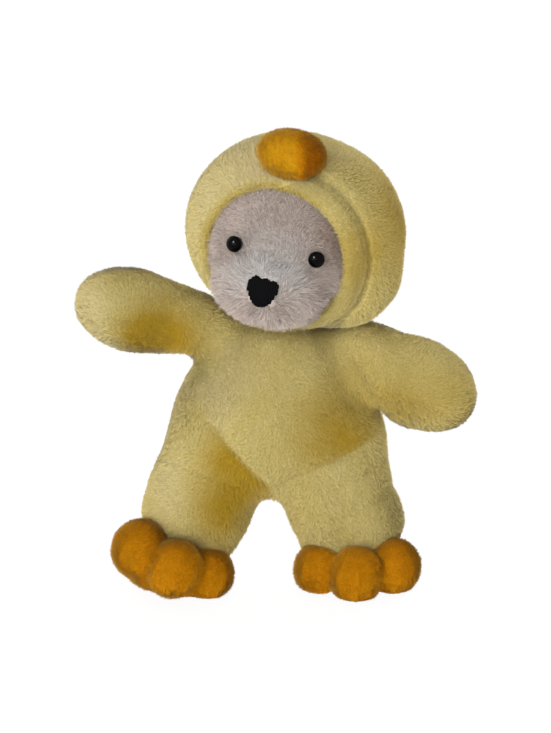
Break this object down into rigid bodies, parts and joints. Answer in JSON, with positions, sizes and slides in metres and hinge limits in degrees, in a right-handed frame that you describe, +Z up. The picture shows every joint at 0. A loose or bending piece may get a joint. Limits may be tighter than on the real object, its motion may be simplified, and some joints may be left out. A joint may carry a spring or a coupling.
{
  "type": "dress-up plush bear",
  "caption": "Soft plush bear sewn into a pale yellow chick costume, with a hood round its face, an orange bill on the brow and toed orange feet; head, arms and legs bend at their seams.",
  "frame": {"origin": "on the floor under the middle of the standing bear", "axes": "+Z up through the bear, which faces -Y; +X towards its left hand"},
  "size_m": [0.239, 0.1264, 0.2879],
  "materials": {
    "yellow_plush": "short soft pile",
    "cream_plush": "soft pile, longer on the muzzle",
    "orange_plush": "short soft pile",
    "fibre": "loose fibre",
    "black_thread": "satin stitch",
    "eye_plastic": "polished",
    "washer_plastic": "moulded"
  },
  "bodies": {
    "torso": {"torso_front_panel": "yellow_plush", "torso_back_panel": "yellow_plush", "torso_stuffing": "fibre"},
    "neck": {"neck_cover": "yellow_plush", "neck_stuffing": "fibre"},
    "head": {"hood_front_band": "yellow_plush", "hood_left_panel": "yellow_plush", "hood_right_panel": "yellow_plush", "eye_left": "eye_plastic", "eye_washer_left": "washer_plastic", "eye_right": "eye_plastic", "eye_washer_right": "washer_plastic", "forehead_left_panel": "cream_plush", "forehead_right_panel": "cream_plush", "muzzle_left_panel": "cream_plush", "muzzle_right_panel": "cream_plush", "head_stuffing": "fibre", "nose_stitching": "black_thread", "bill_upper_panel": "orange_plush", "bill_lower_panel": "orange_plush", "bill_stuffing": "fibre", "chick_eye_left": "black_thread", "chick_eye_right": "black_thread"},
    "arm_left": {"arm_left_front_panel": "yellow_plush", "arm_left_back_panel": "yellow_plush", "arm_left_stuffing": "fibre"},
    "arm_right": {"arm_right_front_panel": "yellow_plush", "arm_right_back_panel": "yellow_plush", "arm_right_stuffing": "fibre"},
    "leg_left": {"leg_left_outer_panel": "yellow_plush", "leg_left_inner_panel": "yellow_plush", "leg_left_stuffing": "fibre", "foot_left_upper_panel": "orange_plush", "foot_left_sole_panel": "orange_plush", "foot_left_stuffing": "fibre"},
    "leg_right": {"leg_right_outer_panel": "yellow_plush", "leg_right_inner_panel": "yellow_plush", "leg_right_stuffing": "fibre", "foot_right_upper_panel": "orange_plush", "foot_right_sole_panel": "orange_plush", "foot_right_stuffing": "fibre"}
  },
  "joints": [
    {"name": "head_nod", "type": "hinge", "parent": "torso", "child": "neck", "pos_m": [0.00282, 0.00931, 0.16111], "axis": [0.9914, 0.0068, -0.1303], "range_deg": [-12, 12], "stiffness_Nm_per_rad": 0.5},
    {"name": "head_turn", "type": "hinge", "parent": "neck", "child": "head", "pos_m": [0.00282, 0.00931, 0.16111], "axis": [0.1305, -0.0519, 0.9901], "range_deg": [-14, 45], "stiffness_Nm_per_rad": 0.3},
    {"name": "shoulder_left", "type": "hinge", "parent": "torso", "child": "arm_left", "pos_m": [0.04031, -0.01221, 0.15133], "axis": [0.2756, 0.0503, -0.9599], "range_deg": [0, 50], "stiffness_Nm_per_rad": 0.08, "springref_deg": -11.46},
    {"name": "shoulder_right", "type": "hinge", "parent": "torso", "child": "arm_right", "pos_m": [-0.0355, -0.01248, 0.15663], "axis": [0.4067, -0.0478, 0.9123], "range_deg": [0, 50], "stiffness_Nm_per_rad": 0.08, "springref_deg": -11.46},
    {"name": "hip_left", "type": "hinge", "parent": "torso", "child": "leg_left", "pos_m": [0.02965, -0.02234, 0.07528], "axis": [-0.9397, 0, -0.342], "range_deg": [0, 75], "stiffness_Nm_per_rad": 0.15, "springref_deg": -11.46},
    {"name": "hip_right", "type": "hinge", "parent": "torso", "child": "leg_right", "pos_m": [-0.03642, -0.01697, 0.08832], "axis": [-0.9397, 0, 0.342], "range_deg": [0, 75], "stiffness_Nm_per_rad": 0.15, "springref_deg": -11.46}
  ]
}
